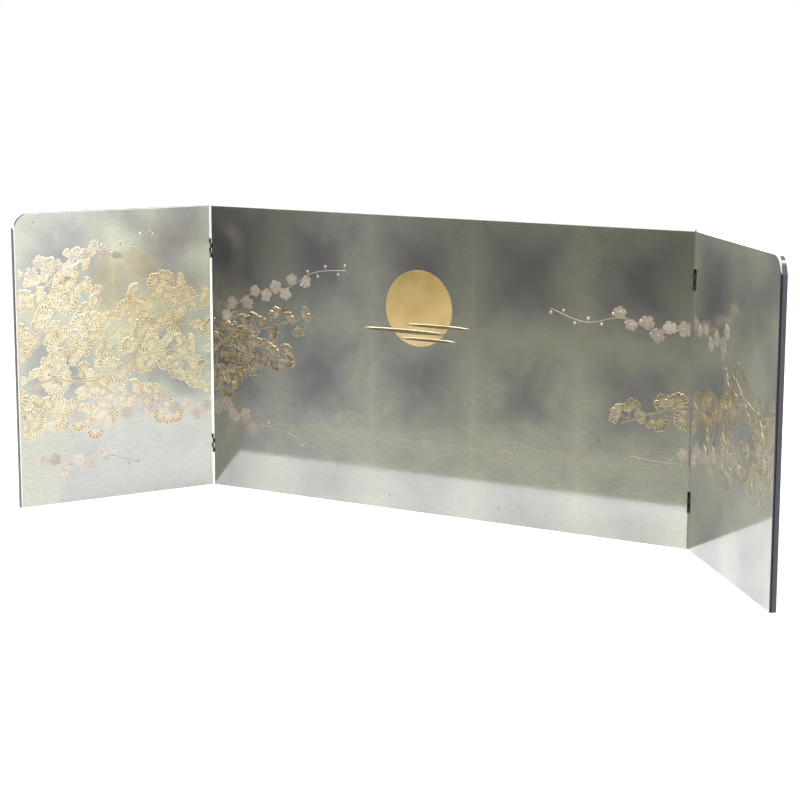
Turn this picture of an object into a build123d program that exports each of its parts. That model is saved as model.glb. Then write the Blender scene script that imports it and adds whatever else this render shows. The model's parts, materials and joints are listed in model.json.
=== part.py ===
"""A low folding screen for a table or a display shelf: three flat lacquered boards with leafed
faces, joined by small butt hinges so that both side panels swing from flat open to closed.

Row frame: +Z up, +Y to the rear, +X to the right. The origin is at the middle of the centre
panel's foot, on the surface that the screen stands on, halfway through the panel's thickness.
All lengths are in millimetres and all angles in degrees.
"""

import os
from math import sqrt

from build123d import *

# ---- panels ----
screen_height = 275.0
centre_width = 500.0
side_width = 200.0
panel_thickness = 5.5  # core board with both of its sheets
outer_corner_radius = 15.0  # free top corner of each side panel
front_arris_radius = 1.5  # lacquered round along the top and a free end, at the front
back_arris_radius = 0.8  # the same at the rear
face_thickness = 0.3  # leafed face sheet, laid flush in the board
back_thickness = 0.3  # plain back sheet, laid flush in the board

# ---- folds, as the screen stands: each side panel's turn forward from flat open ----
left_fold_angle = 63.3
right_fold_angle = 48.8

# ---- hinges ----
hinge_height = 18.5
hinge_top_inset = 42.0  # from the panels' top to the middle of the upper hinges
hinge_foot_inset = 41.5  # from the foot to the middle of the lower hinges
knuckle_count = 4  # from the foot up, the centre leaf has the first and then every second one
knuckle_gap = 0.12  # end play between neighbouring knuckles
leaf_thickness = 0.3
leaf_rear_margin = 0.7  # from the leaf's rear edge to the panel's rear face
leaf_corner_radius = 0.8
curl_slit = 0.12  # open seam where a knuckle's curl comes back to its leaf
corner_clearance = 0.5  # from a barrel to the panels' front corners
notch_clearance = 1.1  # from a barrel to the floor of the other leaf's notch
pin_diameter = 0.5
pin_clearance = 0.05  # radial, in the knuckles
pin_head_radius = 0.5
pin_head_height = 0.3
pin_head_bevel = 0.15

# ---- hinge screws ----
screw_spacing = 10.0
screw_diameter = 1.2
screw_length = 7.0  # from the leaf's outer face to the tip
screw_clearance = 0.02  # round the screw, in the leaf and in the board

# ---- sizes that follow from those ----
bore_radius = pin_diameter / 2 + pin_clearance
barrel_radius = bore_radius + leaf_thickness
axis_offset = sqrt((barrel_radius + corner_clearance) ** 2 - barrel_radius**2)  # ahead of the faces
front_face_y = -panel_thickness / 2
axis_x = centre_width / 2 + barrel_radius
axis_y = front_face_y - axis_offset
leaf_front = sqrt((barrel_radius + notch_clearance) ** 2 - bore_radius**2)  # behind the axis
leaf_rear = axis_offset + panel_thickness - leaf_rear_margin
knuckle_pitch = hinge_height / knuckle_count
screw_radius = screw_diameter / 2
screw_head_radius = screw_radius + leaf_thickness  # a 90 degree countersink through the leaf
hinge_levels = {"upper": screen_height - hinge_top_inset, "lower": hinge_foot_inset}
fold_angles = {"left": left_fold_angle, "right": right_fold_angle}


# ---------------------------------------------------------------- panels
# A panel is made with a hinged edge at x = 0, its foot at z = 0 and its front face at y = 0.


def outline(width, inset, free_end):
    """A panel seen from the front. The inset comes off the top, and off a free end."""
    right = width - inset if free_end else width
    top = screen_height - inset
    shape = Plane.XZ * Pos(right / 2, top / 2) * Rectangle(right, top)
    if free_end:
        top_corners = shape.vertices().group_by(Axis.Z)[-1]
        shape = fillet(top_corners.sort_by(Axis.X)[-1], outer_corner_radius - inset)
    return shape


def slab(width, inset, free_end, depth, thickness):
    """That outline with a thickness, starting at a depth behind the front face."""
    return Pos(0, depth, 0) * extrude(outline(width, inset, free_end), thickness, dir=(0, 1, 0))


def lacquered_edges(face, free_end):
    """The edges of a panel's face that are rounded: the top, and a free end with its corner."""
    top = face.edges().group_by(Axis.Z)[-1]
    if not free_end:
        return top
    corner = face.edges().filter_by(GeomType.CIRCLE)
    end = face.edges().filter_by(Axis.Z).sort_by(Axis.X)[-1:]
    return top + corner + end


def panel(width, free_end):
    """The core board, the face sheet and the back sheet. The sheets lie flush in the board."""
    board = slab(width, 0, free_end, 0, panel_thickness)
    front = board.faces().filter_by(Axis.Y).sort_by(Axis.Y)[0]
    board = fillet(lacquered_edges(front, free_end), front_arris_radius)
    rear = board.faces().filter_by(Axis.Y).sort_by(Axis.Y)[-1]
    board = fillet(lacquered_edges(rear, free_end), back_arris_radius)
    face_sheet = slab(width, front_arris_radius, free_end, 0, face_thickness)
    back_depth = panel_thickness - back_thickness
    back_sheet = slab(width, back_arris_radius, free_end, back_depth, back_thickness)
    return board - face_sheet - back_sheet, face_sheet, back_sheet


# ---------------------------------------------------------------- hinges
# A hinge is made laid flat open, with its axis at x = 0, y = 0 and its foot at z = 0. The side
# panel's edge is at x = barrel_radius, and a centre leaf is the mirror image of a side leaf.


def knuckle_section():
    """The leaf's front part, curled round the pin until it nearly meets itself again."""
    curl = Circle(barrel_radius) - Circle(bore_radius)
    root = Pos(barrel_radius - leaf_thickness / 2, leaf_front / 2) * Rectangle(leaf_thickness, leaf_front)
    slit = Pos(bore_radius - curl_slit / 2, barrel_radius / 2) * Rectangle(curl_slit, barrel_radius)
    return curl - slit + root


def knuckle(row):
    """One knuckle, counted from the hinge's foot, with half of the end play at each end. The first
    one has none at its foot, where the pin's head rests on it."""
    bottom = row * knuckle_pitch + (knuckle_gap / 2 if row > 0 else 0)
    top = (row + 1) * knuckle_pitch - knuckle_gap / 2
    return Pos(0, 0, bottom) * extrude(knuckle_section(), top - bottom)


def screw_form(clearance):
    """A countersunk screw along +X, its head flush with the leaf, or the hole that it needs."""
    head = screw_head_radius + clearance
    shank = screw_radius + clearance
    half_section = Polyline(
        (0, 0),
        (head, 0),
        (shank, leaf_thickness),
        (shank, screw_length + clearance),
        (0, screw_length + clearance),
        close=True,
    )
    turned = revolve(make_face(Plane.XZ * half_section), Axis.Z)
    return Rot(0, 90, 0) * turned


def at_screws(form):
    """A copy of the form at each of a leaf's screws, starting at the leaf's outer face."""
    middle = hinge_height / 2
    depth = (leaf_front + leaf_rear) / 2
    return [
        Pos(bore_radius, depth, middle + side * screw_spacing / 2) * form
        for side in (-1, 1)
    ]


def leaf(rows):
    """A side leaf with its knuckles in the given rows, notched where the other leaf has its own."""
    plate = Pos(barrel_radius - leaf_thickness / 2, (leaf_front + leaf_rear) / 2, hinge_height / 2) * Box(
        leaf_thickness, leaf_rear - leaf_front, hinge_height
    )
    rear_corners = plate.edges().filter_by(Axis.X).group_by(Axis.Y)[-1]
    plate = fillet(rear_corners, leaf_corner_radius)
    for row in rows:
        plate += knuckle(row)
    for hole in at_screws(screw_form(screw_clearance)):
        plate -= hole
    return plate


def screws():
    """The two screws of one leaf."""
    return at_screws(screw_form(0))


def pin():
    """The hinge pin, peened over at both ends."""
    shank = Pos(0, 0, hinge_height / 2) * Cylinder(pin_diameter / 2, hinge_height)
    head = Pos(0, 0, pin_head_height / 2) * Cylinder(pin_head_radius, pin_head_height)
    head = chamfer(head.edges().group_by(Axis.Z)[-1], pin_head_bevel)
    return Pos(0, 0, hinge_height) * head + shank + mirror(head, about=Plane.XY)


# ---------------------------------------------------------------- assembly


def centre_half(shape):
    """From a side leaf's place to a centre leaf's."""
    return mirror(shape, about=Plane.YZ)


def at_fold(shape, side):
    """From the hinge's frame to the fold on that side, with nothing turned."""
    placed = Pos(axis_x, axis_y, 0) * shape
    return placed if side == "right" else mirror(placed, about=Plane.YZ)


def folded(shape, side):
    """The same for what rides on the side panel, turned forward to where the screen stands."""
    return at_fold(Rot(0, 0, -fold_angles[side]) * shape, side)


def side_panel(side):
    """The three pieces of a side panel in place, its board drilled for the hinge screws."""
    board, face_sheet, back_sheet = [
        Pos(barrel_radius, axis_offset, 0) * piece for piece in panel(side_width, free_end=True)
    ]
    for hole in pilot_holes():
        board -= hole
    return {
        f"{side}_board": folded(board, side),
        f"{side}_face": folded(face_sheet, side),
        f"{side}_back": folded(back_sheet, side),
    }


def pilot_holes():
    """The holes in a side board's hinged edge, in the hinge's frame."""
    holes = []
    for level in hinge_levels.values():
        holes += [Pos(0, 0, level - hinge_height / 2) * hole for hole in at_screws(screw_form(screw_clearance))]
    return holes


def centre_panel():
    """The three pieces of the centre panel in place, drilled along both edges."""
    board, face_sheet, back_sheet = [
        Pos(-centre_width / 2, front_face_y, 0) * piece for piece in panel(centre_width, free_end=False)
    ]
    for side in fold_angles:
        for hole in pilot_holes():
            board -= at_fold(centre_half(hole), side)
    return {"centre_board": board, "centre_face": face_sheet, "centre_back": back_sheet}


def hinge(side, level):
    """The five nodes of one hinge. The centre leaf has every second knuckle from the foot up."""
    name = f"{side}_{level}_hinge"
    lift = Pos(0, 0, hinge_levels[level] - hinge_height / 2)
    centre_leaf = centre_half(leaf(range(0, knuckle_count, 2)))
    side_leaf = leaf(range(1, knuckle_count, 2))
    return {
        f"{name}_centre_leaf": at_fold(lift * centre_leaf, side),
        f"{name}_side_leaf": folded(lift * side_leaf, side),
        f"{name}_pin": at_fold(lift * pin(), side),
        f"{name}_centre_screws": [at_fold(lift * centre_half(screw), side) for screw in screws()],
        f"{name}_side_screws": [folded(lift * screw, side) for screw in screws()],
    }


def screen():
    """Every node by name: a solid, or a list of separate solids."""
    nodes = centre_panel()
    for side in fold_angles:
        nodes |= side_panel(side)
        for level in hinge_levels:
            nodes |= hinge(side, level)
    return nodes


os.makedirs("parts", exist_ok=True)
for node, made in screen().items():
    shape = Compound(children=made) if isinstance(made, list) else made
    export_step(shape, f"parts/{node}.step")
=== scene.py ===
"""The looks of a low folding screen: silver-leafed faces with a raised gold and blossom design,
black lacquered edges and small black hinges.

Everything is in metres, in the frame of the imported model: +Z up, the leafed faces towards -Y.
The design is laid out on the screen opened flat, and each panel's share of it is then folded.
"""

import json
import random
from math import atan2, cos, exp, pi, radians, sin

import bmesh
import bpy
from mathutils import Matrix, Vector


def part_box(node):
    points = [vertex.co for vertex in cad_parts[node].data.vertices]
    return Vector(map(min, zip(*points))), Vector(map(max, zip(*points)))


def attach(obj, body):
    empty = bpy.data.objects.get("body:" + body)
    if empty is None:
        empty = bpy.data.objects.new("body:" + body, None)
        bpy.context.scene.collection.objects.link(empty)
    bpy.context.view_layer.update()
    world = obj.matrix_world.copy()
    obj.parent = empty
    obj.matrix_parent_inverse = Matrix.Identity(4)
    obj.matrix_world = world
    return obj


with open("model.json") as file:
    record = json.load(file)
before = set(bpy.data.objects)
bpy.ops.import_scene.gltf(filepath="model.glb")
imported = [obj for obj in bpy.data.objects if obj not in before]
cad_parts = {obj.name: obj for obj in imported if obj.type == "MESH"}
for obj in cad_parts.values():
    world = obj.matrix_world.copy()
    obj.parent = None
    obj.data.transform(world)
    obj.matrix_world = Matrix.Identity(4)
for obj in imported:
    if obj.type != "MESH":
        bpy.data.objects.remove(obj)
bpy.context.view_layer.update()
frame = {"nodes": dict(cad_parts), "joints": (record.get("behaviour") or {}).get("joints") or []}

MM = 0.001

# ---------------------------------------------------------------- the panels, from the frame

SIDES = ("left", "right")
PANELS = ("centre",) + SIDES
FOLDS = {joint["name"].split("_")[0]: joint for joint in frame["joints"]}
FOLD_ANGLE = {side: radians(-FOLDS[side]["range_deg"][0]) for side in SIDES}
SCREEN_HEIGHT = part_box("centre_board")[1].z
FRONT_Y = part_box("centre_face")[0].y


def unfolding(panel):
    """The turn that lays a side panel flat open beside the centre panel, as a 4x4 matrix."""
    if panel == "centre":
        return Matrix.Identity(4)
    axis = Vector(FOLDS[panel]["pos_m"])
    turn = FOLD_ANGLE[panel] * (-1 if panel == "left" else 1)
    return Matrix.Translation(axis) @ Matrix.Rotation(turn, 4, "Z") @ Matrix.Translation(-axis)


def flat_extent(panel):
    """Where the panel's face sheet lies on the opened screen: lowest and highest x and z."""
    face = frame["nodes"][f"{panel}_face"]
    corners = [unfolding(panel) @ vertex.co for vertex in face.data.vertices]
    xs, zs = [corner.x for corner in corners], [corner.z for corner in corners]
    return min(xs), max(xs), min(zs), max(zs)


def add_object(name, data):
    """A new object of the scene that holds the data."""
    made = bpy.data.objects.new(name, data)
    bpy.context.scene.collection.objects.link(made)
    return made


# ---------------------------------------------------------------- camera

FOCAL_PIXELS = 2045.9  # for a frame 800 pixels wide
FRAME_PIXELS = 800.0
SENSOR_WIDTH = 36.0  # millimetres
CAMERA_PLACE = Vector((0.9201, -1.5967, 0.4327))
CAMERA_YAW, CAMERA_PITCH, CAMERA_ROLL = radians(-31.002), radians(-10.034), radians(0.123)


def make_camera():
    """The camera at the photograph's viewing angle."""
    forward = Vector(
        (sin(CAMERA_YAW) * cos(CAMERA_PITCH), cos(CAMERA_YAW) * cos(CAMERA_PITCH), sin(CAMERA_PITCH))
    )
    level_right = Vector((cos(CAMERA_YAW), -sin(CAMERA_YAW), 0))
    level_up = level_right.cross(forward)
    right = cos(CAMERA_ROLL) * level_right + sin(CAMERA_ROLL) * level_up
    up = right.cross(forward)
    data = bpy.data.cameras.new("camera")
    data.sensor_width = SENSOR_WIDTH
    data.lens = FOCAL_PIXELS / FRAME_PIXELS * data.sensor_width
    data.clip_start, data.clip_end = 0.05, 100.0
    camera = add_object("camera", data)
    turn = Matrix((right, up, -forward)).transposed().to_4x4()
    camera.matrix_world = Matrix.Translation(CAMERA_PLACE) @ turn
    bpy.context.scene.camera = camera


# ---------------------------------------------------------------- node graphs


class Graph:
    """Short calls for building a node tree. An input is a socket to link or a plain value."""

    def __init__(self, tree):
        self.tree = tree

    def node(self, kind, inputs=(), **settings):
        node = self.tree.nodes.new(kind)
        for name, value in settings.items():
            setattr(node, name, value)
        for key, value in dict(inputs).items():
            self.feed(node.inputs[key], value)
        return node

    def feed(self, socket, value):
        if isinstance(value, bpy.types.NodeSocket):
            self.tree.links.new(value, socket)
        else:
            socket.default_value = value

    def math(self, operation, a, b=0.0, clamp=False):
        node = self.node("ShaderNodeMath", {0: a, 1: b}, operation=operation, use_clamp=clamp)
        return node.outputs[0]

    def vector(self, operation, a, b):
        return self.node("ShaderNodeVectorMath", {0: a, 1: b}, operation=operation).outputs[0]

    def split(self, vector):
        return self.node("ShaderNodeSeparateXYZ", {0: vector}).outputs

    def join(self, x, y, z):
        return self.node("ShaderNodeCombineXYZ", {0: x, 1: y, 2: z}).outputs[0]

    def place(self):
        """Where the shaded point lies, in metres."""
        return self.node("ShaderNodeTexCoord").outputs["Object"]

    def attribute(self, name):
        return self.node("ShaderNodeAttribute", attribute_name=name).outputs["Fac"]

    def noise(self, vector, scale, detail=2.0, roughness=0.5, distortion=0.0):
        inputs = {"Vector": vector, "Scale": scale, "Detail": detail, "Roughness": roughness}
        inputs["Distortion"] = distortion
        return self.node("ShaderNodeTexNoise", inputs).outputs["Fac"]

    def shake(self, vector, scale, reach):
        """A small random vector that wanders with the place."""
        noise = self.node("ShaderNodeTexNoise", {"Vector": vector, "Scale": scale})
        centred = self.vector("SUBTRACT", noise.outputs["Color"], grey(0.5))
        return self.vector("MULTIPLY", centred, grey(2 * reach))

    def fit(self, value, low, high, to_low=0.0, to_high=1.0, smooth=False):
        """The value carried from one range to another, and held at its ends."""
        inputs = {"Value": value, "From Min": low, "From Max": high}
        inputs |= {"To Min": to_low, "To Max": to_high}
        kind = "SMOOTHSTEP" if smooth else "LINEAR"
        return self.node("ShaderNodeMapRange", inputs, interpolation_type=kind).outputs["Result"]

    def mix(self, factor, a, b, blend="MIX"):
        node = self.node("ShaderNodeMix", data_type="RGBA", blend_type=blend)
        self.feed(node.inputs["Factor"], factor)
        for key, value in ((6, a), (7, b)):
            plain = not isinstance(value, bpy.types.NodeSocket)
            self.feed(node.inputs[key], (*value, 1.0) if plain else value)
        return node.outputs[2]

    def scaled(self, colour, factor):
        """The colour times a single value."""
        return self.mix(1.0, self.join(factor, factor, factor), colour, "MULTIPLY")

    def ramp(self, factor, stops):
        node = self.node("ShaderNodeValToRGB", {0: factor})
        elements = node.color_ramp.elements
        while len(elements) < len(stops):
            elements.new(0.5)
        for element, (position, colour) in zip(elements, stops):
            element.position = position
            element.color = (*colour, 1.0)
        return node.outputs["Color"]

    def bump(self, height, distance, strength):
        inputs = {"Height": height, "Distance": distance, "Strength": strength}
        return self.node("ShaderNodeBump", inputs).outputs["Normal"]


def new_material(name):
    """A node material with an empty Principled shader: its graph and its shader node."""
    material = bpy.data.materials.new(name)
    material.use_nodes = True
    graph = Graph(material.node_tree)
    return material, graph, material.node_tree.nodes["Principled BSDF"]


def grey(value):
    return (value, value, value)


# ---------------------------------------------------------------- stage and light

TABLE_FRONT = -0.150  # the pale surface that the faces mirror ends here
TABLE_LEFT, TABLE_RIGHT, TABLE_BACK = -0.335, 0.384, 0.35
TABLE_LIFT = 0.1 * MM  # it lies so far above the floor
TABLE_WHITE = (0.575, 0.586, 0.685)
FLOOR_HALF = 2.4  # half of the floor's width
FLOOR_FADE = 1.0, 2.3  # the floor melts into the white studio between these distances
FLOOR_WHITE, FLOOR_GLOW = (0.92, 0.92, 0.92), 0.25
STUDIO_WHITE = 0.9  # what lights the matt surfaces from all round
CANOPY_RADIANCE = 9.5  # the soft boxes overhead, which the glossy edges mirror
CREAM = (1.0, 0.97, 0.90)

# What the gloss mirrors, by azimuth: 0 is in front of the screen, +90 on its left and 180 behind it.
# A colour is one grey level, or red, green and blue. A span is a pair of elevations in degrees.
WALLS = [
    (-180, 0.9), (-168, 0.5), (-146, 0.5), (-84, 1.13), (-76, 1.5),
    (-66, (1.2, 1.2, 1.45)), (-56, (1.1, 1.1, 1.35)), (-50, 0.07), (0, 0.07),
    (3.0, 0.3), (3.8, 2.4), (4.6, 2.2), (5.5, 1.65), (6.4, 1.5), (7.6, 1.3), (9.5, 0.3), (12, 0.08),
    (23.0, (0.088, 0.085, 0.078)), (24.2, (0.145, 0.140, 0.126)), (26, (0.190, 0.185, 0.162)),
    (29.3, (0.160, 0.158, 0.145)), (30.8, 0.20), (31.8, 0.42), (33.3, 0.22), (34.4, 0.115),
    (36, (0.068, 0.060, 0.054)), (58.5, 0.11), (59.3, 0.14), (60.3, 0.215), (61.4, 0.34), (63, 0.60),
]
LOW_GLOW = [  # added to the walls near the floor
    (-180, 0.1), (-80, 0.1), (-68, 0.0), (1, 0.0), (3, (2.6, 2.8, 3.1)), (9, (2.6, 2.8, 3.1)),
    (12, 0.0), (18, (1.0, 1.0, 0.92)), (32, (1.0, 1.0, 0.92)), (36, (1.1, 1.1, 1.3)), (50, 0.1),
    (58.8, 0.55), (60.3, (1.1, 1.1, 1.15)), (61.6, (1.15, 1.15, 1.25)), (120, 0.5),
]
LOW_GLOW_SPAN = (-14, -5)  # it fades out upwards between these
LOW_GLOW_STRENGTH = 0.45
HIGH_GLOW = [  # added to the walls above that
    (-180, 0.0), (-100, 0.27), (-80, 0.27), (-72, 0.0), (2, 0.0), (4, (0.60, 0.60, 0.90)),
    (5.5, (0.44, 0.42, 0.66)), (6.4, (0.30, 0.24, 0.46)), (8, (0.10, 0.08, 0.22)), (10, 0.0),
    (57, 0.0), (59, 0.22),
]
HIGH_GLOW_SPAN = (-7.4, -5.5)  # it fades in upwards between these
CANOPY_SPAN = (-1, 2.5)  # the canopy fades in upwards between these
CANOPY_LOWER = [  # the colour of its lower part
    (-180, CREAM), (-83, CREAM), (-78, 0.05), (-56, 0.05), (-50, 0.2), (-5, 0.2), (14, CREAM),
]
CANOPY_UPPER = [  # and of its upper part
    (-180, 0.12), (-110, 0.12), (-102, CREAM), (-84, CREAM), (-79, 0.15), (-60, 0.15),
    (-48, CREAM), (164, CREAM), (174, 0.12),
]
CANOPY_UPPER_SPAN = (44, 60)  # the upper part takes over from the lower one between these
CANOPY_TOP_SPAN = (76, 84)  # and it turns plain cream between these
CANOPY_DIMMED = [(-180, 0.0), (118, 0.0), (138, 1.0), (166, 1.0), (179, 0.0)]  # by how much
CANOPY_DIMMED_LEVEL = 0.2  # what is left of it low down, where it is dimmed
CANOPY_DIMMED_SPAN = (9, 70)  # it comes back to its full level between these


def plain_sheet(name, x_low, x_high, y_low, y_high, z):
    """A level rectangle that belongs to the stage."""
    mesh = bpy.data.meshes.new(name)
    corners = [(x_low, y_low, z), (x_high, y_low, z), (x_high, y_high, z), (x_low, y_high, z)]
    mesh.from_pydata(corners, [], [(0, 1, 2, 3)])
    sheet = add_object(name, mesh)
    return sheet


def matt_white(name, colour, glow, mirrored_once=False):
    """A matt surface with a glow of its own, which turns clear far from the screen. One that is
    mirrored once is clear also where two mirrors come before it."""
    material, graph, shader = new_material(name)
    place = graph.place()
    cloud = graph.noise(place, 1.5, 2.0)
    tone = graph.mix(cloud, tuple(part * 0.985 for part in colour), colour)
    graph.feed(shader.inputs["Base Color"], tone)
    shader.inputs["Roughness"].default_value = 0.9
    shader.inputs["Specular IOR Level"].default_value = 0.1
    shader.inputs["Emission Color"].default_value = (1, 1, 1, 1)
    shader.inputs["Emission Strength"].default_value = glow
    away = graph.node("ShaderNodeVectorMath", {0: place}, operation="LENGTH").outputs["Value"]
    solid = graph.fit(away, *FLOOR_FADE, 1.0, 0.0, smooth=True)
    if mirrored_once:
        mirrors = graph.node("ShaderNodeLightPath").outputs["Glossy Depth"]
        solid = graph.math("MULTIPLY", solid, graph.math("LESS_THAN", mirrors, 1.5))
    graph.feed(shader.inputs["Alpha"], solid)
    return material


def make_floor():
    """A white floor that no gloss mirrors, and a pale table that shows only in the gloss."""
    floor = plain_sheet("floor", -FLOOR_HALF, FLOOR_HALF, -FLOOR_HALF, FLOOR_HALF, 0.0)
    floor.data.materials.append(matt_white("floor_white", FLOOR_WHITE, FLOOR_GLOW))
    floor.visible_glossy = False
    sides = TABLE_LEFT, TABLE_RIGHT, TABLE_FRONT, TABLE_BACK
    mirrored = plain_sheet("floor_mirrored", *sides, TABLE_LIFT)
    material = matt_white("floor_mirrored_white", TABLE_WHITE, 0.0, mirrored_once=True)
    mirrored.data.materials.append(material)
    mirrored.visible_camera = False
    mirrored.visible_diffuse = False
    mirrored.visible_shadow = False


LIGHTS = [
    # name, azimuth, elevation, distance, width, height, radiance and colour
    ("fill", 33, 38, 2.2, 1.3, 0.9, 8.5, (1.0, 0.97, 0.92)),
    ("key", -72, 22, 2.2, 0.45, 2.0, 14.0, (1.0, 0.98, 0.95)),
]


def area_light(name, azimuth, elevation, distance, width, height, radiance, colour):
    """A soft box that faces the screen and that no gloss mirrors."""
    a, e = radians(azimuth), radians(elevation)
    away = Vector((-sin(a) * cos(e), -cos(a) * cos(e), sin(e)))
    data = bpy.data.lights.new(name, "AREA")
    data.shape = "RECTANGLE"
    data.size, data.size_y = width, height
    data.energy = radiance * pi * width * height
    data.color = colour
    light = add_object(name, data)
    light.location = Vector((0, 0, SCREEN_HEIGHT / 2)) + away * distance
    light.rotation_euler = away.to_track_quat("Z", "Y").to_euler()
    light.visible_glossy = False


def round_stops(stops):
    """Stops by azimuth, the first of them at -180, for a ramp that goes right round."""
    placed = []
    for degrees_left, colour in stops:
        full = colour if isinstance(colour, tuple) else grey(colour)
        placed.append(((degrees_left + 180) / 360, full))
    return placed + [(1.0, placed[0][1])]


def make_world():
    """White all round for the camera. What the gloss mirrors is a studio that is bright at both
    sides, behind and overhead, and dim in front but for a narrow gap."""
    world = bpy.data.worlds.new("studio")
    world.use_nodes = True
    bpy.context.scene.world = world
    graph = Graph(world.node_tree)
    background = world.node_tree.nodes["Background"]
    direction = graph.node("ShaderNodeTexCoord").outputs["Generated"]
    x, y, z = graph.split(direction)
    azimuth = graph.math("ARCTAN2", graph.math("MULTIPLY", x, -1), graph.math("MULTIPLY", y, -1))
    round_share = graph.fit(azimuth, -pi, pi)

    def around(stops):
        """A colour that changes with the azimuth."""
        return graph.ramp(round_share, round_stops(stops))

    def between(span, low, high, smooth=True):
        """A level that changes with the elevation."""
        return graph.fit(z, sin(radians(span[0])), sin(radians(span[1])), low, high, smooth)

    low_glow = graph.scaled(around(LOW_GLOW), between(LOW_GLOW_SPAN, LOW_GLOW_STRENGTH, 0.0))
    high_glow = graph.scaled(around(HIGH_GLOW), between(HIGH_GLOW_SPAN, 0.0, 1.0))
    lit = graph.mix(1.0, around(WALLS), low_glow, "ADD")
    lit = graph.mix(1.0, lit, high_glow, "ADD")
    upper_share = between(CANOPY_UPPER_SPAN, 0.0, 1.0)
    canopy = graph.mix(upper_share, around(CANOPY_LOWER), around(CANOPY_UPPER))
    canopy = graph.mix(between(CANOPY_TOP_SPAN, 0.0, 1.0), canopy, CREAM)
    rising = between(CANOPY_DIMMED_SPAN, CANOPY_DIMMED_LEVEL, 1.0, smooth=False)
    canopy = graph.mix(around(CANOPY_DIMMED), canopy, graph.scaled(canopy, rising))
    canopy = graph.scaled(canopy, between(CANOPY_SPAN, 0.0, CANOPY_RADIANCE))
    mirrored = graph.mix(1.0, lit, canopy, "ADD")
    rays = graph.node("ShaderNodeLightPath").outputs
    seen = graph.mix(rays["Is Glossy Ray"], grey(STUDIO_WHITE), mirrored)
    graph.feed(background.inputs["Color"], graph.mix(rays["Is Camera Ray"], seen, grey(1.0)))


# ---------------------------------------------------------------- silver leaf

LEAF_PITCH = 106.6 * MM
SEAM_WANDER = 1.2 * MM  # how far a seam strays to each side
LEAF_CALM = {"left": 0.2, "centre": 0.5, "right": 0.85}  # how strong the clouds are near the foot
CALM_LEVELS = 25 * MM, 70 * MM  # they grow to full strength between these
FOOT_REFLECTION_SHARE = {"left": 0.42, "centre": 0.0, "right": 0.0}  # painted reflection: how far the foot is painted towards a flat pale tone
FOOT_REFLECTION_LEVELS = 30 * MM, 120 * MM  # that ends between these
LEAF_TONES = [  # from the seams to the middle of a square
    (0.0, (0.655, 0.665, 0.55)),
    (0.10, (0.60, 0.615, 0.52)),
    (0.22, (0.515, 0.53, 0.462)),
    (0.34, (0.425, 0.425, 0.40)),
    (0.48, (0.345, 0.333, 0.34)),
]
# The flat pale tone of that painted reflection at the foot.
FOOT_REFLECTION_TONE = (0.71, 0.71, 0.65)
OVERLAP_TONE, SEAM_TONE = (0.66, 0.655, 0.48), (0.80, 0.77, 0.60)
BRUSH_TONE, MOTTLE_TONE = (0.26, 0.24, 0.24), (0.26, 0.265, 0.26)
STAIN_TONE, SPECK_TONE = (0.24, 0.17, 0.20), (0.15, 0.14, 0.11)
LEAF_SEAMS = {  # where two seams cross on each panel of the opened screen
    "left": (-353.3 * MM, 72.9 * MM),
    "centre": (-175 * MM, 67 * MM),
    "right": (347 * MM, 70 * MM),
}


def opened_flat(graph, panel):
    """The surface point's place on the opened screen."""
    unfold = unfolding(panel)
    inputs = {"Vector": graph.place(), "Location": unfold.to_translation()}
    inputs["Rotation"] = unfold.to_euler()
    return graph.node("ShaderNodeMapping", inputs).outputs[0]


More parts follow.
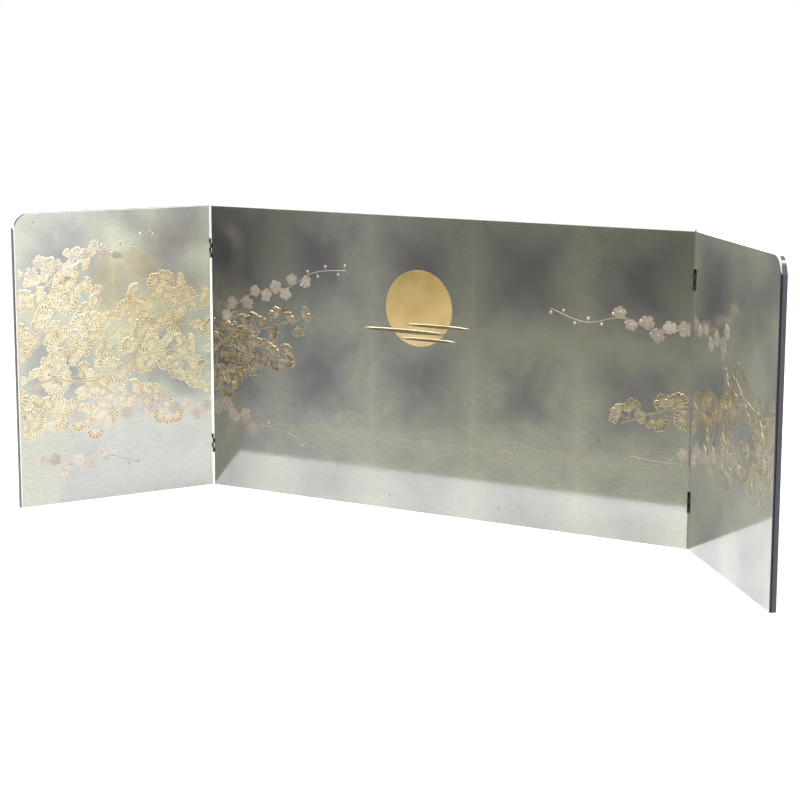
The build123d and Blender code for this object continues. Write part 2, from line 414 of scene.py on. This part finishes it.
def silver_leaf(panel):
    """Aged silver leaf in squares: violet-grey clouds in the middle, pale olive seams with a double
    layer where the squares overlap, a fine mottle, and tarnish spots here and there."""
    material, graph, shader = new_material(f"silver_leaf_{panel}")
    flat = opened_flat(graph, panel)
    seam_x, seam_z = LEAF_SEAMS[panel]
    wander = graph.fit(graph.noise(flat, 14.0, 2.0), 0.0, 1.0, -SEAM_WANDER, SEAM_WANDER)
    x, _, z = graph.split(flat)

    def squares(place, seam):
        """The place counted in squares from a seam, whose line wanders a little."""
        away = graph.math("ADD", graph.math("SUBTRACT", place, seam), wander)
        return graph.math("DIVIDE", away, LEAF_PITCH)

    across, up = squares(x, seam_x), squares(z, seam_z)
    aside, above = graph.math("PINGPONG", across, 0.5), graph.math("PINGPONG", up, 0.5)
    edge = graph.math("MINIMUM", aside, above)
    square = graph.join(graph.math("FLOOR", across), graph.math("FLOOR", up), 0.0)
    white_noise = graph.node("ShaderNodeTexWhiteNoise", {"Vector": square}, noise_dimensions="3D")
    each = white_noise.outputs["Value"]
    clouds = graph.noise(flat, 26.0, 5.0, 0.55, 0.4)
    middle = graph.math("ADD", edge, graph.fit(clouds, 0.3, 0.7, -0.13, 0.13))
    middle = graph.math("ADD", middle, graph.fit(each, 0.0, 1.0, -0.05, 0.05))
    calm = graph.fit(z, *CALM_LEVELS, LEAF_CALM[panel], 1.0, smooth=True)
    tone = graph.ramp(graph.math("MULTIPLY", middle, calm), LEAF_TONES)
    # Painted reflection: the foot of the left panel is painted paler, towards a flat pale tone.
    foot_reflection = graph.fit(z, *FOOT_REFLECTION_LEVELS, FOOT_REFLECTION_SHARE[panel], 0.0, smooth=True)
    tone = graph.mix(foot_reflection, tone, FOOT_REFLECTION_TONE)
    torn = graph.fit(graph.noise(flat, 260.0, 3.0), 0.3, 0.7, -0.0025, 0.0025)
    ragged = graph.math("ADD", edge, torn)
    overlap = graph.fit(ragged, 0.018, 0.024, 0.34, 0.0)
    tone = graph.mix(overlap, tone, OVERLAP_TONE)
    seam_line = graph.fit(ragged, 0.002, 0.007, 0.32, 0.0)
    tone = graph.mix(seam_line, tone, SEAM_TONE)
    brushed = graph.vector("MULTIPLY", flat, (60.0, 60.0, 900.0))
    brush = graph.noise(brushed, 1.0, 3.0, 0.6)
    tone = graph.mix(graph.fit(brush, 0.3, 0.7, 0.0, 0.18), tone, BRUSH_TONE)
    mottle = graph.noise(flat, 420.0, 4.0, 0.65)
    tone = graph.mix(graph.fit(mottle, 0.35, 0.65, 0.0, 0.18), tone, MOTTLE_TONE)
    stains = spots(graph, flat, scale=11.0, share=0.25, size=0.055, strength=0.5)
    tone = graph.mix(stains, tone, STAIN_TONE)
    specks = spots(graph, flat, scale=60.0, share=0.10, size=0.10, strength=0.7)
    tone = graph.mix(specks, tone, SPECK_TONE)
    graph.feed(shader.inputs["Base Color"], tone)
    shader.inputs["Metallic"].default_value = 0.96
    graph.feed(shader.inputs["Roughness"], graph.fit(clouds, 0.2, 0.8, 0.07, 0.11))
    shader.inputs["Coat Weight"].default_value = 1.0
    shader.inputs["Coat Roughness"].default_value = 0.02
    graph.feed(shader.inputs["Normal"], graph.bump(brush, 0.01 * MM, 0.3))
    return material


def spots(graph, place, scale, share, size, strength):
    """A mask of ragged spots in that share of a mosaic's cells. Their size is in cells."""
    ragged = graph.vector("ADD", place, graph.shake(place, 9 * scale, 0.12 / scale))
    inputs = {"Vector": ragged, "Scale": scale, "Randomness": 1.0}
    cells = graph.node("ShaderNodeTexVoronoi", inputs)
    chosen, varied, _ = graph.split(cells.outputs["Color"])
    reach = graph.math("MULTIPLY", graph.fit(varied, 0.0, 1.0, 0.4, 1.0), size)
    inside = graph.math("DIVIDE", cells.outputs["Distance"], reach)
    mask = graph.fit(inside, 0.5, 1.1, strength, 0.0, smooth=True)
    return graph.math("MULTIPLY", mask, graph.math("LESS_THAN", chosen, share))


# ---------------------------------------------------------------- lacquer, paper and metal

LACQUER_BLACKS = (0.004, 0.003, 0.004), (0.009, 0.007, 0.009)
END_HIGHLIGHT_REACH = 1.2 * MM  # how far a pale band, a painted highlight, reaches round the left panel's rounded free end
# The colour of that painted highlight.
END_HIGHLIGHT_TONE = (0.50, 0.50, 0.44)


def black_lacquer(panel):
    """Deep black gloss. On the left panel a pale band is painted on the round of the free end, as a
    painted highlight.
    """
    material, graph, shader = new_material(f"black_lacquer_{panel}")
    place = graph.place()
    cloud = graph.noise(place, 60.0, 3.0)
    tone = graph.mix(cloud, *LACQUER_BLACKS)
    gloss = graph.fit(cloud, 0.3, 0.7, 0.10, 0.18)
    coat = 1.0
    # Painted highlight: a pale, rougher band without coat on the round of the left panel's free end.
    if panel == "left":
        x, y, _ = graph.split(opened_flat(graph, panel))
        face_end = flat_extent(panel)[0]
        aside = graph.fit(x, face_end - END_HIGHLIGHT_REACH, face_end - END_HIGHLIGHT_REACH * 0.8)
        back = graph.fit(y, FRONT_Y + END_HIGHLIGHT_REACH * 0.6, FRONT_Y + END_HIGHLIGHT_REACH * 0.8, 1.0, 0.0)
        end_highlight = graph.math("MULTIPLY", aside, back)
        end_highlight = graph.math("MULTIPLY", end_highlight, graph.math("LESS_THAN", x, face_end))
        tone = graph.mix(end_highlight, tone, END_HIGHLIGHT_TONE)
        gloss = graph.math("MAXIMUM", gloss, graph.math("MULTIPLY", end_highlight, 0.55))
        coat = graph.math("SUBTRACT", 1.0, end_highlight)
    graph.feed(shader.inputs["Base Color"], tone)
    graph.feed(shader.inputs["Roughness"], gloss)
    graph.feed(shader.inputs["Coat Weight"], coat)
    shader.inputs["Coat Roughness"].default_value = 0.03
    shader.inputs["Coat IOR"].default_value = 1.6
    return material


def back_paper():
    """Black paper with a fine grain."""
    material, graph, shader = new_material("back_paper")
    place = graph.place()
    grain = graph.noise(place, 900.0, 4.0, 0.6)
    tone = graph.mix(grain, (0.010, 0.009, 0.010), (0.026, 0.024, 0.026))
    graph.feed(shader.inputs["Base Color"], tone)
    graph.feed(shader.inputs["Roughness"], graph.fit(grain, 0.3, 0.7, 0.42, 0.55))
    shader.inputs["Specular IOR Level"].default_value = 0.25
    graph.feed(shader.inputs["Normal"], graph.bump(grain, 0.03 * MM, 0.4))
    return material


def hinge_black():
    """Dull black on the hinge leaves and the screws."""
    material, graph, shader = new_material("hinge_black")
    place = graph.place()
    grain = graph.noise(place, 2500.0, 2.0)
    tone = graph.mix(grain, (0.003, 0.003, 0.002), (0.008, 0.007, 0.006))
    graph.feed(shader.inputs["Base Color"], tone)
    shader.inputs["Specular IOR Level"].default_value = 0.08
    graph.feed(shader.inputs["Roughness"], graph.fit(grain, 0.3, 0.7, 0.35, 0.5))
    return material


def pin_metal():
    """Darkened metal."""
    material, graph, shader = new_material("pin_metal")
    place = graph.place()
    grain = graph.noise(place, 1800.0, 2.0)
    tone = graph.mix(grain, (0.10, 0.09, 0.075), (0.19, 0.175, 0.145))
    graph.feed(shader.inputs["Base Color"], tone)
    shader.inputs["Metallic"].default_value = 1.0
    shader.inputs["Roughness"].default_value = 0.35
    return material


def dress_frame():
    """Gives every node of the model its material."""
    paper, black, bright = back_paper(), hinge_black(), pin_metal()
    leaf = {f"{panel}_face": silver_leaf(panel) for panel in PANELS}
    lacquer = {f"{panel}_board": black_lacquer(panel) for panel in PANELS}
    for name, node in frame["nodes"].items():
        if name.endswith("_board"):
            chosen = lacquer[name]
        elif name.endswith("_face"):
            chosen = leaf[name]
        elif name.endswith("_back"):
            chosen = paper
        elif name.endswith("_pin"):
            chosen = bright
        else:
            chosen = black
        node.data.materials.clear()
        node.data.materials.append(chosen)


# ---------------------------------------------------------------- the design's pigments


def drawn_lines(graph):
    """The lines of a motif: ribs that fan out over a leaf, its rim, and veins set point by point."""
    between = graph.math("PINGPONG", graph.attribute("rib"), 0.5)
    away = graph.math("MULTIPLY", between, graph.attribute("reach"))
    ribs = graph.fit(away, RIB_WIDTH * 0.4, RIB_WIDTH * 0.6, 1.0, 0.0, smooth=True)
    rim = graph.fit(graph.attribute("reach"), 0.88, 0.92, smooth=True)
    return graph.math("MAXIMUM", graph.math("MAXIMUM", ribs, rim), graph.attribute("vein"))


def pigment(name, paint, lines, metallic, roughness, shade=None):
    """Powdered metal or shell white under the clear coat, from dull to bright, for the paint and
    for the lines drawn on it. Each motif has a tone of its own, and a shade can run up it."""
    material, graph, shader = new_material(name)
    place = graph.place()
    grain = graph.noise(place, 1400.0, 3.0, 0.6)
    drift = graph.noise(place, 45.0, 2.0)
    level = graph.math("ADD", graph.attribute("tone"), graph.fit(drift, 0.3, 0.7, -0.15, 0.15))
    level = graph.math("ADD", level, graph.fit(grain, 0.3, 0.7, -0.08, 0.08), clamp=True)
    if shade is not None:
        level = graph.math("ADD", level, graph.fit(graph.split(place)[2], *shade), clamp=True)
    tone = graph.mix(drawn_lines(graph), graph.ramp(level, paint), graph.ramp(level, lines))
    graph.feed(shader.inputs["Base Color"], tone)
    shader.inputs["Metallic"].default_value = metallic
    finish = graph.fit(grain, 0.3, 0.7, roughness - 0.03, roughness + 0.05)
    graph.feed(shader.inputs["Roughness"], finish)
    shader.inputs["Coat Weight"].default_value = 0.7
    shader.inputs["Coat Roughness"].default_value = 0.05
    graph.feed(shader.inputs["Normal"], graph.bump(grain, 0.01 * MM, 0.3))
    return material


def gold_paint():
    paint = [(0.0, (0.25, 0.21, 0.13)), (0.5, (0.39, 0.335, 0.215)), (1.0, (0.60, 0.54, 0.39))]
    lines = [(0.0, (0.54, 0.44, 0.27)), (0.4, (0.72, 0.62, 0.42)), (1.0, (0.77, 0.70, 0.525))]
    return pigment("gold_paint", paint, lines, 0.96, 0.14)


def disc_gold():
    paint = [(0.0, (0.18, 0.126, 0.042)), (0.5, (0.30, 0.22, 0.085)), (1.0, (0.44, 0.335, 0.16))]
    low, high = (DISC_PLACE[1] - DISC_RADIUS) * MM, (DISC_PLACE[1] + DISC_RADIUS) * MM
    return pigment("disc_gold", paint, paint, 0.6, 0.30, (low, high, 0.35, -0.55))


def blossom_paint():
    paint = [(0.0, (0.25, 0.21, 0.172)), (0.5, (0.36, 0.312, 0.265)), (1.0, (0.58, 0.525, 0.455))]
    lines = [(0.0, (0.34, 0.29, 0.235)), (1.0, (0.66, 0.595, 0.52))]
    return pigment("blossom_paint", paint, lines, 0.68, 0.16)


def twig_brown():
    paint = [(0.0, (0.14, 0.11, 0.09)), (0.5, (0.24, 0.19, 0.16)), (1.0, (0.36, 0.30, 0.255))]
    lines = [(0.0, (0.30, 0.24, 0.20)), (1.0, (0.54, 0.46, 0.39))]
    return pigment("twig_brown", paint, lines, 0.65, 0.18)


# ---------------------------------------------------------------- the raised design
# A motif is drawn on the opened screen in millimetres: x to the right, z up, and its height above
# the face. It is one closed shell, sunk a little into the face sheet.

SINK = 0.03  # how far a motif's underside lies in the face sheet
BOUGH_HEIGHT, TWIG_HEIGHT = 0.08, 0.05
LEAF_HEIGHTS = (0.02, 0.05)  # each leaf lies at a height of its own between these
PETAL_HEIGHT, PETAL_RIM_HEIGHT, HEART_HEIGHT = 0.07, 0.05, 0.11
DISC_HEIGHT, DISC_RIM_HEIGHT = 0.04, 0.01
MIST_HEIGHT, MIST_RIM_HEIGHT = 0.07, 0.03
BLOSSOM_RADII = (6.2, 7.6)  # each blossom's radius is between these
MARKS = ("tone", "vein", "rib", "reach")  # what the pigments read at each point of a motif
RIBS = 6  # spaces between the ribs of a fan leaf
RIB_WIDTH = 0.36  # of a rib, as a share of their spacing at the leaf's rim
FACE_MARGIN = 1.5  # bare leaf along the edges of each face
dice = random.Random(7)


class Relief:
    """Gathers the shells of one kind of motif, with their tones, on the opened screen."""

    def __init__(self):
        self.points = []
        self.marks = []
        self.faces = []

    def point(self, x, z, height, tone, vein=0.0, rib=0.5, reach=0.5):
        self.points.append((x * MM, FRONT_Y - height * MM, z * MM))
        self.marks.append((tone, vein, rib, reach))
        return len(self.points) - 1

    def shell(self, rings, tone, closed):
        """A shell over rings of (x, z, height, then marks), from the inside out or side to side. A
        closed shell goes round, and its first ring is one point. The underside is flat."""
        top = []
        for ring in rings:
            top.append([self.point(x, z, height, tone, *marks) for x, z, height, *marks in ring])
        for inner, outer in zip(top, top[1:]):
            self.bridge(inner, outer, closed)
        if closed:
            under = [self.point(x, z, -SINK, tone) for x, z, *_ in rings[-1]]
            self.bridge(top[-1], under, True)
            self.faces.append(tuple(reversed(under)))
            return
        under = [[self.point(x, z, -SINK, tone) for x, z, *_ in ring] for ring in rings]
        for inner, outer in zip(under, under[1:]):
            self.bridge(outer, inner, False)
        self.bridge(top[-1], under[-1], False)
        self.bridge(under[0], top[0], False)
        for end in (0, -1):
            for low in range(len(rings) - 1):
                side = (top[low][end], top[low + 1][end], under[low + 1][end], under[low][end])
                self.faces.append(side if end else tuple(reversed(side)))

    def bridge(self, inner, outer, closed):
        """Faces between two rings of points."""
        count = len(outer)
        for i in range(count if closed else count - 1):
            j = (i + 1) % count
            if len(inner) == 1:
                self.faces.append((inner[0], outer[i], outer[j]))
            else:
                self.faces.append((inner[i], outer[i], outer[j], inner[j]))

    def piece(self, name, panel, material, slot):
        """That panel's share, cut at the edges of its face and folded to where the panel stands."""
        shape = bmesh.new()
        layers = [shape.verts.layers.float.new(mark) for mark in MARKS]
        verts = [shape.verts.new(point) for point in self.points]
        for vert, marks in zip(verts, self.marks):
            for layer, mark in zip(layers, marks):
                vert[layer] = mark
        for face in self.faces:
            shape.faces.new([verts[index] for index in face])
        x_low, x_high, z_low, z_high = flat_extent(panel)
        margin = FACE_MARGIN * MM
        cuts = [((x_low + margin, 0, 0), (-1, 0, 0)), ((x_high - margin, 0, 0), (1, 0, 0))]
        cuts += [((0, 0, z_low + margin), (0, 0, -1)), ((0, 0, z_high - margin), (0, 0, 1))]
        for place, outward in cuts:
            trim(shape, place, outward)
        if not shape.faces:
            shape.free()
            return
        bmesh.ops.recalc_face_normals(shape, faces=shape.faces)
        bmesh.ops.transform(shape, matrix=unfolding(panel).inverted(), verts=shape.verts)
        mesh = bpy.data.meshes.new(name)
        shape.to_mesh(mesh)
        shape.free()
        mesh.materials.append(material)
        made = add_object(name, mesh)
        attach(made, f"{panel}_panel")


def trim(shape, place, outward):
    """Cuts away what lies beyond a plane and closes the shells again."""
    everything = list(shape.verts) + list(shape.edges) + list(shape.faces)
    cut = bmesh.ops.bisect_plane(
        shape, geom=everything, dist=1e-7, plane_co=place, plane_no=outward, clear_outer=True
    )
    edges = [item for item in cut["geom_cut"] if isinstance(item, bmesh.types.BMEdge)]
    if edges:
        bmesh.ops.holes_fill(shape, edges=[edge for edge in edges if edge.is_boundary], sides=0)


def full_turn(steps):
    """Evenly spaced angles all the way round."""
    return [2 * pi * step / steps for step in range(steps)]


def along(points, steps):
    """Points on a smooth line through the given ones, each with its direction as an angle."""
    line = []
    ends = [points[0]] + list(points) + [points[-1]]
    for before, start, end, after in zip(ends, ends[1:], ends[2:], ends[3:]):
        for step in range(steps):
            t = step / steps
            corners = zip(before, start, end, after)
            line.append(tuple(catmull(a, b, c, d, t) for a, b, c, d in corners))
    line.append(points[-1])
    placed = []
    for index, (x, z) in enumerate(line):
        last = line[max(index - 1, 0)]
        following = line[min(index + 1, len(line) - 1)]
        placed.append((x, z, atan2(following[1] - last[1], following[0] - last[0])))
    return placed


def catmull(a, b, c, d, t):
    """The smooth curve through b and c at the share t between them."""
    square, cube = 2 * a - 5 * b + 4 * c - d, 3 * b - a - 3 * c + d
    return 0.5 * (2 * b + (c - a) * t + square * t * t + cube * t**3)


# across a twig: how far aside, how high and how light
TWIG_SECTION = [(-1, 0.8, 1.0), (-0.35, 1.0, 0.2), (0.35, 1.0, 0.2), (1, 0.8, 1.0)]


def twig(relief, points, thick, thin, height, knots=0.35):
    """A tapered twig with uneven sides, a low ridge, and a light line along each side."""
    line = along(points, 7)
    rings = []
    for index, (x, z, angle) in enumerate(line):
        share = index / (len(line) - 1)
        half = (thick + (thin - thick) * share) / 2 * dice.uniform(1 - knots, 1 + knots)
        shift = dice.uniform(-knots, knots) * half
        across_x, across_z = -sin(angle), cos(angle)
        ring = []
        for side, lift, vein in TWIG_SECTION:
            offset = side * half + shift
            ring.append((x + across_x * offset, z + across_z * offset, height * lift, vein))
        rings.append(ring)
    relief.shell(rings, dice.uniform(0.6, 0.95), closed=False)


def fan_leaf(relief, x, z, angle, radius, level):
    """A fan-shaped leaf with a notch in its wavy rim, and ribs that fan out from its stalk."""
    half_spread = radians(dice.uniform(58, 80))
    ripple, phase = dice.uniform(0.02, 0.05), dice.uniform(0, 2 * pi)
    notch = dice.uniform(0.15, 0.32)
    steps = 4 * RIBS
    rings = []
    for share, lift in ((0.04, 1.0), (0.5, 1.0), (0.96, 1.0), (1.0, 0.3)):
        ring = []
        for step in range(steps + 1):
            aside = 2 * step / steps - 1
            turn = half_spread * aside
            wave = ripple * sin(7 * turn + phase)
            reach = 1 - 0.16 * aside**2 + wave - notch * exp(-((turn / 0.10) ** 2))
            place = angle + turn
            distance = radius * reach * share
            rib = aside * RIBS / 2
            leaf_x, leaf_z = x + cos(place) * distance, z + sin(place) * distance
            ring.append((leaf_x, leaf_z, level * lift, 0.0, rib, share))
        rings.append(ring)
    # The leaf's tone is random, plus painted light that makes it paler on the left panel and the
    # right half.
    relief.shell(rings, 0.75 * dice.betavariate(2.0, 2.0) + painted_light_lift(x), closed=False)


def painted_light_lift(x):
    """How much paler a motif is painted at x, as painted light: most on the left panel, which faces
    the key light, and a little on the right half.
    """
    if x < flat_extent("left")[1] / MM:
        return 0.35
    return 0.15 if x > 0 else 0.0


def stalk(relief, x, z, angle, length, level):
    """A leaf's bent stalk. Gives the place of its tip."""
    bend = dice.uniform(-0.35, 0.35)
    end_x, end_z = x + cos(angle) * length, z + sin(angle) * length
    middle_x = (x + end_x) / 2 - sin(angle) * bend * length * 0.4
    middle_z = (z + end_z) / 2 + cos(angle) * bend * length * 0.4
    twig(relief, [(x, z), (middle_x, middle_z), (end_x, end_z)], 0.7, 0.5, level, 0.1)
    return end_x, end_z


def leaf_spray(leaves, twigs, points, count, sizes, side_turn):
    """Leaves in small tufts along a twig, leaning outwards to both sides of it."""
    line = along(points, 9)
    for index in range(count):
        x, z, angle = line[int((index + 0.6) / count * (len(line) - 1))]
        x, z = x + dice.uniform(-2, 2), z + dice.uniform(-2, 2)
        side = 1 if index % 2 else -1
        for lean in dice.sample((15, 42, 70, 98, 126), dice.choice((2, 3, 3, 4))):
            turned = angle + side * radians(lean + dice.uniform(-12, 12)) + side_turn
            length = dice.uniform(3, 11)
            level = dice.uniform(*LEAF_HEIGHTS)
            end_x, end_z = stalk(twigs, x, z, turned, length, level)
            turned += dice.uniform(-0.3, 0.3)
            fan_leaf(leaves, end_x, end_z, turned, dice.uniform(*sizes), level)


def blossom(petals, hearts, x, z, radius):
    """Five petals, each notched at its tip, round a heart with stamens."""
    # The tone is random, plus painted light that makes blossoms paler on the left panel and the
    # right half.
    turn, tone = dice.uniform(0, 2 * pi), dice.uniform(0.2, 0.55) + painted_light_lift(x)
    squash, lean = dice.uniform(0.84, 1.0), dice.uniform(0, pi)
    steps = 60
    rings = [[(x, z, PETAL_HEIGHT, 0.0)]]
    for share in (0.3, 0.6, 0.88, 1.0):
        lift = PETAL_RIM_HEIGHT if share == 1.0 else PETAL_HEIGHT
        ring = []
        for step, around in enumerate(full_turn(steps)):
            petal = (step % (steps // 5)) / (steps / 10) - 1
            notch = 0.14 * exp(-((petal / 0.20) ** 2))
            reach = 1 if share < 0.4 else 0.60 + 0.40 * (1 - abs(petal) ** 2.6) - notch
            distance = radius * reach * share
            local_x = cos(around + turn) * distance
            local_z = sin(around + turn) * distance * squash
            place_x = x + local_x * cos(lean) - local_z * sin(lean)
            place_z = z + local_x * sin(lean) + local_z * cos(lean)
            light = 0.9 if share == 1.0 else 0.6 * share * (1 - petal**2)
            ring.append((place_x, place_z, lift, light))
        rings.append(ring)
    petals.shell(rings, tone, closed=True)
    dome(hearts, x, z, radius * 0.16, HEART_HEIGHT, 0.45)
    for stamen in range(7):
        way = turn + 2 * pi * (stamen + dice.uniform(-0.2, 0.2)) / 7
        reach = radius * dice.uniform(0.34, 0.46)
        stamen_x, stamen_z = x + cos(way) * reach, z + sin(way) * reach * squash
        dome(hearts, stamen_x, stamen_z, 0.32, HEART_HEIGHT, 0.6)


def dome(relief, x, z, radius, height, tone):
    """A small round bead."""
    rings = [[(x, z, height, 0.6)]]
    for share, lift in ((0.6, 0.8), (1.0, 0.15)):
        ring = []
        for around in full_turn(10):
            place_x, place_z = x + cos(around) * radius * share, z + sin(around) * radius * share
            ring.append((place_x, place_z, height * lift, 0.3))
        rings.append(ring)
    relief.shell(rings, tone, closed=True)


def blossom_spray(petals, hearts, twigs, points, flowers, buds, sizes):
    """Blossoms on a slender twig, close together at its foot, with buds out to its tip."""
    twig(twigs, points, 1.0, 0.4, TWIG_HEIGHT, 0.25)
    line = along(points, 12)
    for index in range(flowers):
        x, z, angle = line[int((index + 0.5) / flowers * 0.72 * (len(line) - 1))]
        side = 1 if index % 2 else -1
        offset = side * dice.uniform(1.5, 5.5)
        x, z = x - sin(angle) * offset, z + cos(angle) * offset
        blossom(petals, hearts, x, z, dice.uniform(*sizes))
    for index in range(buds):
        x, z, angle = line[int((0.45 + 0.55 * (index + 0.8) / buds) * (len(line) - 1))]
        side = 1 if index % 2 else -1
        offset = side * dice.uniform(2.5, 5.0)
        bud_x, bud_z = x - sin(angle) * offset, z + cos(angle) * offset
        twig(twigs, [(x, z), (bud_x, bud_z)], 0.5, 0.4, TWIG_HEIGHT, 0.1)
        dome(petals, bud_x, bud_z, dice.uniform(1.1, 1.7), PETAL_HEIGHT, dice.uniform(0.4, 0.9))


LEFT_LEAVES, RIGHT_LEAVES = (8.0, 11.0), (9.0, 12.5)  # radii of the fan leaves in the two groups
LEFT_MAIN_BOUGH = [
    (-456, 102), (-420, 118), (-376, 114), (-334, 132),
    (-292, 138), (-246, 154), (-204, 156), (-150, 170),
]
RIGHT_MAIN_BOUGH = [
    (456, 156), (414, 146), (378, 152), (340, 138),
    (302, 134), (262, 122), (230, 120), (186, 104),
]
GOLD_BOUGHS = [
    # route from the foot to the tip, width there, tufts of leaves, and how the leaves lean
    (LEFT_MAIN_BOUGH, 3.0, 27, 0.25),
    ([(-376, 114), (-352, 98), (-324, 94), (-294, 78)], 2.0, 11, 0.0),
    ([(-334, 132), (-318, 160), (-298, 176), (-268, 186)], 2.0, 11, 0.0),
    ([(-420, 118), (-404, 148), (-384, 164), (-364, 192)], 2.2, 12, 0.0),
    ([(-404, 148), (-372, 150), (-344, 166), (-322, 192), (-290, 204)], 2.0, 13, 0.0),
    ([(-292, 138), (-276, 118), (-250, 106), (-222, 104)], 1.8, 10, 0.0),
    ([(-246, 154), (-222, 138), (-196, 130), (-160, 130)], 1.8, 10, 0.0),
    ([(-456, 154), (-430, 162), (-410, 184), (-392, 208)], 2.2, 11, 0.0),
    ([(-456, 74), (-424, 86), (-396, 82), (-362, 72)], 2.2, 12, 0.2),
    ([(-456, 190), (-430, 200), (-404, 220), (-376, 230)], 1.8, 10, 0.0),
    (RIGHT_MAIN_BOUGH, 4.2, 15, -0.2),
    ([(378, 152), (356, 166), (324, 170)], 3.2, 5, 0.0),
    ([(340, 138), (330, 120), (344, 100), (334, 78)], 3.4, 6, 0.0),
    ([(302, 134), (290, 112), (300, 94), (286, 76)], 3.2, 5, 0.0),
    ([(414, 146), (424, 124), (410, 102), (420, 78)], 3.4, 6, 0.0),
    ([(456, 118), (432, 112), (396, 114), (372, 98)], 3.4, 6, 0.0),
]
BLOSSOM_BOUGHS = [
    # route from the foot to the tip, blossoms, buds
    ([(-456, 208), (-428, 224), (-402, 224), (-374, 238), (-344, 238), (-312, 254)], 11, 9),
    ([(-344, 84), (-306, 88), (-270, 76), (-238, 80), (-206, 66), (-170, 62), (-132, 48)], 13, 10),
    ([(-236, 170), (-202, 192), (-166, 198), (-132, 216), (-96, 220)], 9, 8),
    ([(-430, 46), (-400, 36), (-366, 42), (-330, 30)], 6, 6),
    ([(338, 196), (300, 188), (258, 196), (222, 186), (186, 196), (150, 190), (116, 200)], 13, 10),
    ([(336, 100), (302, 88), (268, 88), (236, 74), (196, 76)], 9, 8),
]
DISC_PLACE, DISC_RADIUS = (-18.0, 190.0), 35.0
MIST = [
    # place in x and z, half length, half height
    (-34.0, 168.0, 46.0, 2.0),
    (2.0, 174.5, 34.0, 1.6),
    (-8.0, 161.5, 30.0, 1.5),
]


def gold_disc(relief):
    """A plain round disc."""
    x, z = DISC_PLACE
    rings = [[(x, z, DISC_HEIGHT)]]
    for share in (0.5, 0.985, 1.0):
        lift = DISC_RIM_HEIGHT if share == 1.0 else DISC_HEIGHT
        ring = []
        for around in full_turn(120):
            place_x = x + cos(around) * DISC_RADIUS * share
            ring.append((place_x, z + sin(around) * DISC_RADIUS * share, lift))
        rings.append(ring)
    relief.shell(rings, 0.6, closed=True)


def mist_band(relief, x, z, half_length, half_height):
    """A long drifting band with rounded, tapering ends and a light outline."""
    rings = [[(x, z, MIST_HEIGHT, 0.0)]]
    outline = (0.9, 0.065, 0.6), (1.0, MIST_RIM_HEIGHT, 0.6)
    for share, lift, light in ((0.8, MIST_HEIGHT, 0.0), *outline):
        ring = []
        for around in full_turn(48):
            flat = abs(sin(around)) ** 0.75 * (1 if sin(around) >= 0 else -1)
            place_x = x + cos(around) * half_length * share
            ring.append((place_x, z + flat * half_height * share, lift, light))
        rings.append(ring)
    relief.shell(rings, 0.35, closed=True)


def make_design():
    """The raised motifs: fan leaves on gold boughs, sprays of blossom, and a disc in the mist."""
    leaves, boughs, petals, hearts, twigs, disc, mist = (Relief() for _ in range(7))
    gold_disc(disc)
    for band in MIST:
        mist_band(mist, *band)
    for points, width, tufts, lean in GOLD_BOUGHS:
        twig(boughs, points, width, width * 0.35, BOUGH_HEIGHT)
        radii = RIGHT_LEAVES if points[0][0] > 0 else LEFT_LEAVES
        leaf_spray(leaves, boughs, points, tufts, radii, lean)
    for points, flowers, buds in BLOSSOM_BOUGHS:
        blossom_spray(petals, hearts, twigs, points, flowers, buds, BLOSSOM_RADII)
    gold, disc_finish, pale, brown = gold_paint(), disc_gold(), blossom_paint(), twig_brown()
    for panel in PANELS:
        leaves.piece(f"{panel}_fan_leaves", panel, gold, "gold_paint")
        boughs.piece(f"{panel}_gold_boughs", panel, gold, "gold_paint")
        petals.piece(f"{panel}_blossoms", panel, pale, "blossom_paint")
        hearts.piece(f"{panel}_blossom_hearts", panel, gold, "gold_paint")
        twigs.piece(f"{panel}_blossom_twigs", panel, brown, "blossom_paint")
    disc.piece("gold_disc", "centre", disc_finish, "gold_paint")
    mist.piece("mist_bands", "centre", gold, "gold_paint")


# ---------------------------------------------------------------- the scene

bpy.context.scene.view_settings.view_transform = "Standard"
make_camera()
make_floor()
make_world()
for light in LIGHTS:
    area_light(*light)
dress_frame()
make_design()
